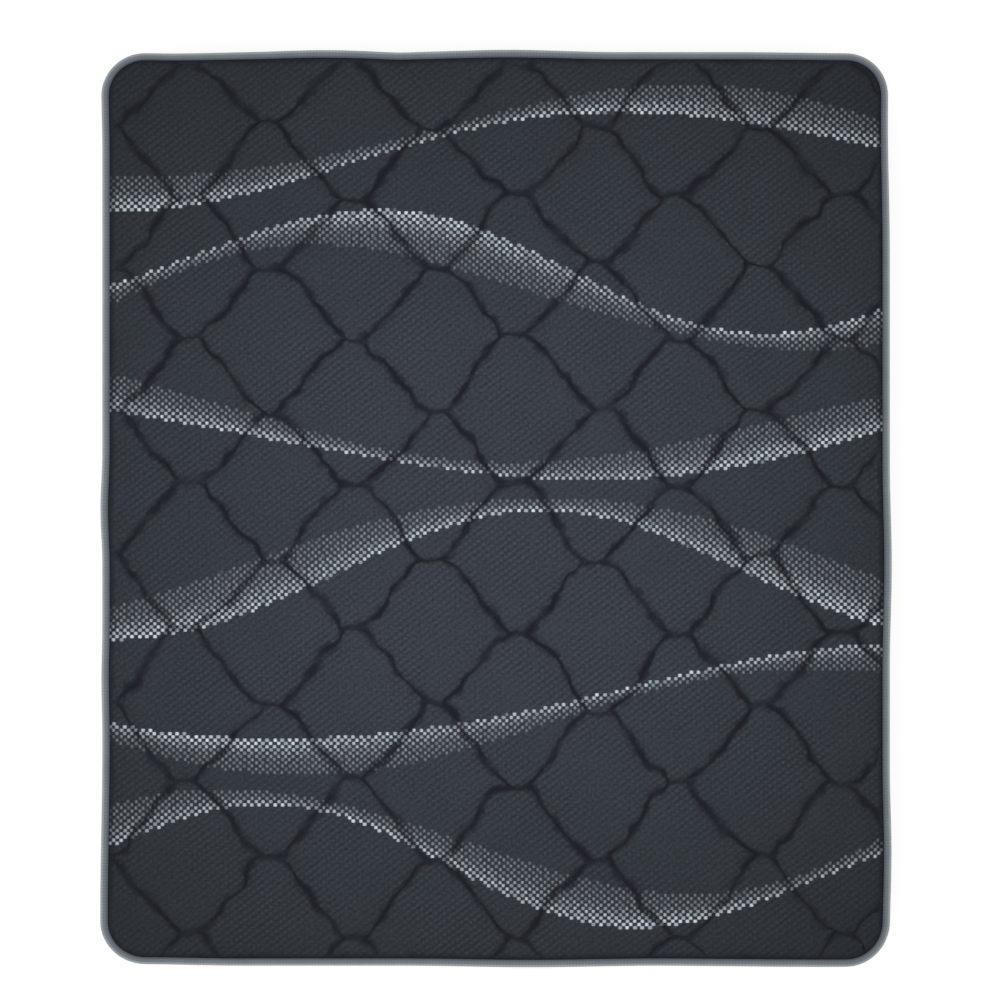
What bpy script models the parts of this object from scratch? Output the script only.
"""A foam mattress of the nominal size 72 by 84 inches, lying on its underside.

X runs across the bed, +Y points to the head, +Z up. The origin is on the surface that the mattress lies
on, under its middle. A zipless cover is closed by two tape edges: each is a woven tape folded over the
raw edges of a panel and of the border. Inside lie four slabs of foam in a knitted fire sock.
"""

import math

import bmesh
import bpy
from mathutils import Vector

# Plan, over the tape edges. The length is half an inch under nominal, as the photograph shows it
WIDTH = 1.829
LENGTH = 2.122
CORNER_RADIUS = 0.102
CORNER_STEPS = 6
SHARPEST_CORNER = 0.004

# Clearance between pieces that touch, and the distance within which points count as one
GAP = 0.0003
WELD = 0.0001

# Foam slabs and the sock round them
CORE_THICKNESS = 0.152
TRANSITION_THICKNESS = 0.051
MEMORY_THICKNESS = 0.051
COMFORT_THICKNESS = 0.025
SOCK_THICKNESS = 0.001
SOCK_HEM = 0.120

# Tape edges: a 34 mm tape folded in half. The lower one stays clear of what the mattress lies on
TAPE_LEG = 0.017
TAPE_THICKNESS = 0.0012
TAPE_NOSE_STEPS = 6
TAPE_LIFT = 0.002

# Border: a quilted belt with level channels, whose two edges turn outward into the tapes
BORDER_EDGE = 0.003
BORDER_STITCHED = 0.004
BORDER_SWELL = 0.0065
BORDER_SHOULDER = 0.022
CHANNEL_ROLL = 0.0045
BORDER_CHANNELS = 5
CHANNEL_STEPS = 5
BACKING_THICKNESS = 0.0008

# Panels: thickness in the tape, and the full height of the quilted one
BOTTOM_PANEL_THICKNESS = 0.0015
BEND_SHARE = 0.4
TOP_PANEL_EDGE = 0.003
QUILT_HEIGHT = 0.019
GROOVE_HEIGHT = 0.007

# Quilting: wavy lines that meet at short level bridges and leave pointed cells between them. Each cell
# climbs from its groove to a crest ring, and the whole panel rolls down over EDGE_ROLL to its seam
BRIDGE_PITCH = 0.379
BRIDGE_WIDTH = 0.045
ROW_PITCH_AT_HEAD = 0.162
ROW_PITCH_AT_FOOT = 0.1807
FIRST_ROW_INSET = 0.0087
PATTERN_SHIFT = 0.046
WAVE_SHARE = 0.15
WAVE_STEPS = 3
CREST_SHARES = (0, 0.17, 0.83)
PAD_ROLL = 0.045
EDGE_ROLL = 0.075
EDGE_RING = 0.024
EDGE_RING_CORNER_STEPS = 1

# How deep the pieces sit inside the plan, from the tape inward
tape_stack_top = TOP_PANEL_EDGE + BACKING_THICKNESS + BORDER_EDGE + 4 * GAP
tape_stack_bottom = BOTTOM_PANEL_THICKNESS + BORDER_EDGE + 3 * GAP
edge_inset = tape_stack_top / 2 + TAPE_THICKNESS
seam_inset = TAPE_LEG + GAP
border_inner_inset = seam_inset + BORDER_STITCHED
border_backing_inset = border_inner_inset + GAP
sock_inset = border_backing_inset + BACKING_THICKNESS + GAP
foam_inset = sock_inset + SOCK_THICKNESS + GAP

# Levels, from the underside up
bottom_edge_level = TAPE_LIFT + TAPE_THICKNESS + GAP
bottom_lip_level = bottom_edge_level + BOTTOM_PANEL_THICKNESS + GAP
sock_level = BOTTOM_PANEL_THICKNESS + GAP
core_level = sock_level + SOCK_THICKNESS + GAP
transition_level = core_level + CORE_THICKNESS + GAP
memory_level = transition_level + TRANSITION_THICKNESS + GAP
comfort_level = memory_level + MEMORY_THICKNESS + GAP
sock_top = comfort_level + COMFORT_THICKNESS + GAP + SOCK_THICKNESS
quilt_backing_level = sock_top + GAP
quilt_level = quilt_backing_level + BACKING_THICKNESS + GAP
top_lip_level = quilt_backing_level - GAP - BORDER_EDGE


def fabric(name, colour, roughness):
    """A Principled material for cloth or foam."""
    material = bpy.data.materials.new(name)
    material.use_nodes = True
    shader = material.node_tree.nodes["Principled BSDF"]
    shader.inputs["Base Color"].default_value = (*colour, 1)
    shader.inputs["Roughness"].default_value = roughness
    shader.inputs["Metallic"].default_value = 0
    material.diffuse_color = (*colour, 1)
    return material


def corner_radius(inset):
    """Radius of the plan's corners, this far inside the outline."""
    return max(CORNER_RADIUS - inset, SHARPEST_CORNER)


def plan_points(inset, steps=CORNER_STEPS):
    """The plan's rounded rectangle, this far inside the outline, anticlockwise as (x, y)."""
    radius = corner_radius(inset)
    centre_x = WIDTH / 2 - inset - radius
    centre_y = LENGTH / 2 - inset - radius
    points = []
    for corner, (side_x, side_y) in enumerate(((1, 1), (-1, 1), (-1, -1), (1, -1))):
        for step in range(steps + 1):
            angle = math.radians(90) * (corner + step / steps)
            x = side_x * centre_x + radius * math.cos(angle)
            y = side_y * centre_y + radius * math.sin(angle)
            points.append((x, y))
    return points


def add_object(name, mesh, material):
    """Turns a finished bmesh into a named object with its faces pointing out."""
    bmesh.ops.recalc_face_normals(mesh, faces=mesh.faces)
    data = bpy.data.meshes.new(name)
    mesh.to_mesh(data)
    mesh.free()
    data.shade_smooth()
    data.set_sharp_from_angle(angle=math.radians(40))
    data.materials.append(material)
    item = bpy.data.objects.new(name, data)
    bpy.context.scene.collection.objects.link(item)
    return item


def solid_round_plan(name, profile, material, ring=False):
    """Carries a profile of (inset, height) points once round the plan.

    A ring's profile closes on itself. Any other solid is capped flat at its first and last points.
    """
    mesh = bmesh.new()
    loops = []
    for inset, height in profile:
        loops.append([mesh.verts.new((x, y, height)) for x, y in plan_points(inset)])
    neighbours = list(zip(loops, loops[1:]))
    if ring:
        neighbours.append((loops[-1], loops[0]))
    else:
        mesh.faces.new(loops[0])
        mesh.faces.new(loops[-1])
    for lower, upper in neighbours:
        for i in range(len(lower)):
            mesh.faces.new((lower[i - 1], lower[i], upper[i], upper[i - 1]))
    return add_object(name, mesh, material)


def slab(name, inset, level, thickness, material):
    """A flat sheet or block of foam with the plan's outline."""
    return solid_round_plan(name, [(inset, level), (inset, level + thickness)], material)


def rounded(distance, reach):
    """Share of its full height that a round shoulder has this far from its foot."""
    share = min(max(distance / reach, 0), 1)
    return math.sqrt(1 - (1 - share) ** 2)


def arc(centre, radius, start, end, steps):
    """Points of a profile on an arc, in degrees from the inward direction, as (inset, height)."""
    points = []
    for step in range(steps + 1):
        angle = math.radians(start + (end - start) * step / steps)
        points.append((centre[0] + radius * math.cos(angle), centre[1] + radius * math.sin(angle)))
    return points


def tape_profile(level, stack):
    """The tape's section: two legs joined by a round nose, folded over a stack of edges."""
    nose = stack / 2 + TAPE_THICKNESS
    centre = (nose, level + nose)
    outside = arc(centre, nose, 90, 270, TAPE_NOSE_STEPS)
    inside = arc(centre, stack / 2, 270, 90, TAPE_NOSE_STEPS)
    lower_leg = [(TAPE_LEG, level), (TAPE_LEG, level + TAPE_THICKNESS)]
    upper_leg = [(TAPE_LEG, level + TAPE_THICKNESS + stack), (TAPE_LEG, level + 2 * nose)]
    return outside + lower_leg + inside + upper_leg


def channel_profile(bottom, top):
    """The border's outer face between its tapes: it swells out from both seams, with level channels on it."""
    height = top - bottom
    points = []
    for channel in range(BORDER_CHANNELS):
        for step in range(CHANNEL_STEPS):
            share = (channel + step / CHANNEL_STEPS) / BORDER_CHANNELS
            swell = BORDER_SWELL * rounded(min(share, 1 - share) * height, BORDER_SHOULDER)
            roll = CHANNEL_ROLL * math.sin(math.pi * step / CHANNEL_STEPS)
            points.append((seam_inset - swell - roll, bottom + height * share))
    points.append((seam_inset, top))
    return points


def border_profile():
    """The border's section, from its lower lip up the outside and down the flat inside."""
    bottom_lip_top = bottom_lip_level + BORDER_EDGE
    top_lip_top = top_lip_level + BORDER_EDGE
    channels_bottom = bottom_lip_top + GAP + TAPE_THICKNESS + GAP
    channels_top = top_lip_level - GAP - TAPE_THICKNESS - GAP
    return [
        (border_inner_inset, bottom_lip_level),
        (edge_inset, bottom_lip_level),
        (edge_inset, bottom_lip_top),
        (seam_inset, bottom_lip_top),
        *channel_profile(channels_bottom, channels_top),
        (seam_inset, top_lip_level),
        (edge_inset, top_lip_level),
        (edge_inset, top_lip_top),
        (border_inner_inset, top_lip_top),
    ]


def border_backing_profile():
    """The non-woven sheet behind the border, as high as the border is."""
    top = top_lip_level + BORDER_EDGE
    inner_inset = border_backing_inset + BACKING_THICKNESS
    return [
        (border_backing_inset, bottom_lip_level),
        (border_backing_inset, top),
        (inner_inset, top),
        (inner_inset, bottom_lip_level),
    ]


def bottom_panel_profile():
    """The filler cloth: flat underneath, stepped up at its rim, inside the border, into the lower tape."""
    bend = BOTTOM_PANEL_THICKNESS * BEND_SHARE
    rim_top = bottom_edge_level + BOTTOM_PANEL_THICKNESS
    return [
        (border_inner_inset - bend, 0),
        (seam_inset, bottom_edge_level),
        (edge_inset, bottom_edge_level),
        (edge_inset, rim_top),
        (seam_inset + bend, rim_top),
        (border_inner_inset, BOTTOM_PANEL_THICKNESS),
    ]


def sock_profile():
    """The fire sock: over the top, down the sides and turned in underneath, where it is open."""
    inner_inset = sock_inset + SOCK_THICKNESS
    hem_inset = sock_inset + SOCK_HEM
    return [
        (sock_inset, sock_top),
        (sock_inset, sock_level),
        (hem_inset, sock_level),
        (hem_inset, sock_level + SOCK_THICKNESS),
        (inner_inset, sock_level + SOCK_THICKNESS),
        (inner_inset, sock_top - SOCK_THICKNESS),
    ]


def quilt_rows():
    """Levels of the rows of bridges from past the head to past the foot, slightly wider apart on the way."""
    rows = [LENGTH / 2 - FIRST_ROW_INSET + ROW_PITCH_AT_HEAD]
    while rows[-1] > -LENGTH / 2 - ROW_PITCH_AT_FOOT:
        share = min(max(0.5 - rows[-1] / LENGTH, 0), 1)
        rows.append(rows[-1] - ROW_PITCH_AT_HEAD - (ROW_PITCH_AT_FOOT - ROW_PITCH_AT_HEAD) * share)
    return rows


def quilt_columns():
    """Places across the panel that carry points, as (number of the bridge column, share of the way on)."""
    most = math.ceil(WIDTH / BRIDGE_PITCH) + 1
    shares = [step / WAVE_STEPS for step in range(WAVE_STEPS + 1)]
    return [(number, share) for number in range(-most, most) for share in shares]


def column_x(number, share):
    """Place across the panel, from the right end of one bridge column to the left end of the next."""
    half_pitch = BRIDGE_PITCH / 2
    return PATTERN_SHIFT + number * half_pitch + BRIDGE_WIDTH / 2 + share * (half_pitch - BRIDGE_WIDTH)


def wave_level(rows, line, number, share):
    """Level of a stitched line, which swings between its two rows of bridges in S bends."""
    swing = share - WAVE_SHARE * math.sin(math.tau * share) / math.tau
    if (number + line) % 2 == 0:
        swing = 1 - swing
    return rows[line] + (rows[line + 1] - rows[line]) * swing


def depth_inside(point, inset):
    """Distance of a point from the plan's outline at this inset, inward."""
    radius = corner_radius(inset)
    beyond_x = abs(point.x) - (WIDTH / 2 - inset - radius)
    beyond_y = abs(point.y) - (LENGTH / 2 - inset - radius)
    if beyond_x > 0 and beyond_y > 0:
        return radius - math.hypot(beyond_x, beyond_y)
    return radius - max(beyond_x, beyond_y)


def quilted_sheet():
    """The pads as one sheet, wider than the panel: a grid bent to the stitched lines."""
    rows = quilt_rows()
    columns = quilt_columns()
    lines = len(rows) - 2
    mesh = bmesh.new()
    bmesh.ops.create_grid(
        mesh, x_segments=len(columns) - 1, y_segments=lines * len(CREST_SHARES), size=LENGTH / 2
    )
    mesh.verts.index_update()
    for vert in mesh.verts:
        number, share = columns[vert.index % len(columns)]
        line, crest = divmod(vert.index // len(columns), len(CREST_SHARES))
        if crest > 0 and 0 < share < 1:
            share = 0.5
        head_side = wave_level(rows, line, number, share)
        if line == lines:
            foot_side = head_side
        else:
            foot_side = wave_level(rows, line + 1, number, share)
        crest_share = CREST_SHARES[crest]
        distance = min(crest_share, 1 - crest_share) * (head_side - foot_side)
        height = GROOVE_HEIGHT + (QUILT_HEIGHT - GROOVE_HEIGHT) * rounded(distance, PAD_ROLL)
        y = head_side + (foot_side - head_side) * crest_share
        vert.co = (column_x(number, share), y, height)
    bmesh.ops.remove_doubles(mesh, verts=mesh.verts, dist=WELD)
    return mesh


def cut_along_plan(mesh, inset, steps, clear_outer):
    """Cuts a sheet along each side of the plan's outline at this inset, and can drop what lies outside."""
    points = plan_points(inset, steps)
    for i, (x, y) in enumerate(points):
        before = points[i - 1]
        outward = Vector((y - before[1], before[0] - x, 0))
        bmesh.ops.bisect_plane(
            mesh,
            geom=[*mesh.verts, *mesh.edges, *mesh.faces],
            dist=WELD,
            plane_co=(x, y, 0),
            plane_no=outward.normalized(),
            clear_outer=clear_outer,
        )


def quilted_top_panel(material):
    """The quilted panel: padded cells that roll down to a thin flat edge held in the upper tape."""
    mesh = quilted_sheet()
    cut_along_plan(mesh, seam_inset, CORNER_STEPS, clear_outer=True)
    cut_along_plan(mesh, seam_inset + EDGE_RING, EDGE_RING_CORNER_STEPS, clear_outer=False)
    for vert in mesh.verts:
        shoulder = rounded(depth_inside(vert.co, seam_inset), EDGE_ROLL)
        vert.co.z = TOP_PANEL_EDGE + (vert.co.z - TOP_PANEL_EDGE) * shoulder
    seam = [edge for edge in mesh.edges if edge.is_boundary]
    for vert in {vert for edge in seam for vert in edge.verts}:
        vert.co.z = TOP_PANEL_EDGE
    rim = [mesh.verts.new((x, y, TOP_PANEL_EDGE)) for x, y in plan_points(edge_inset)]
    rim_edges = [mesh.edges.new((rim[i - 1], rim[i])) for i in range(len(rim))]
    bmesh.ops.triangle_fill(mesh, use_beauty=True, edges=seam + rim_edges, normal=(0, 0, 1))
    walls = bmesh.ops.extrude_edge_only(mesh, edges=rim_edges)["geom"]
    foot = [item for item in walls if isinstance(item, bmesh.types.BMVert)]
    bmesh.ops.translate(mesh, verts=foot, vec=(0, 0, -TOP_PANEL_EDGE))
    bmesh.ops.edgeloop_fill(mesh, edges=[edge for edge in mesh.edges if edge.is_boundary])
    bmesh.ops.translate(mesh, verts=mesh.verts, vec=(0, 0, quilt_level))
    return add_object("quilted_top_panel", mesh, material)


def main():
    for item in list(bpy.data.objects):
        bpy.data.objects.remove(item)

    knit = fabric("grey_knit", (0.045, 0.051, 0.061), 0.85)
    border_knit = fabric("border_knit", (0.036, 0.041, 0.049), 0.85)
    tape = fabric("woven_tape", (0.165, 0.190, 0.212), 0.7)
    filler = fabric("filler_cloth", (0.020, 0.021, 0.023), 0.9)
    non_woven = fabric("non_woven", (0.72, 0.72, 0.70), 0.9)
    sock = fabric("fire_knit", (0.78, 0.76, 0.70), 0.9)
    soft_foam = fabric("comfort_foam", (0.82, 0.81, 0.77), 0.95)
    gel_foam = fabric("memory_foam", (0.40, 0.55, 0.68), 0.95)
    firm_foam = fabric("transition_foam", (0.70, 0.71, 0.70), 0.95)
    core_foam = fabric("core_foam", (0.55, 0.56, 0.57), 0.95)

    quilted_top_panel(knit)
    slab("quilt_backing", edge_inset, quilt_backing_level, BACKING_THICKNESS, non_woven)

    top_tape_level = top_lip_level - GAP - TAPE_THICKNESS
    solid_round_plan("top_tape_edge", tape_profile(top_tape_level, tape_stack_top), tape, ring=True)
    solid_round_plan("border_quilt", border_profile(), border_knit, ring=True)
    solid_round_plan("border_backing", border_backing_profile(), non_woven, ring=True)
    solid_round_plan("bottom_tape_edge", tape_profile(TAPE_LIFT, tape_stack_bottom), tape, ring=True)
    solid_round_plan("bottom_panel", bottom_panel_profile(), filler)

    solid_round_plan("fire_sock", sock_profile(), sock)
    slab("comfort_foam", foam_inset, comfort_level, COMFORT_THICKNESS, soft_foam)
    slab("memory_foam", foam_inset, memory_level, MEMORY_THICKNESS, gel_foam)
    slab("transition_foam", foam_inset, transition_level, TRANSITION_THICKNESS, firm_foam)
    slab("support_core", foam_inset, core_level, CORE_THICKNESS, core_foam)


main()
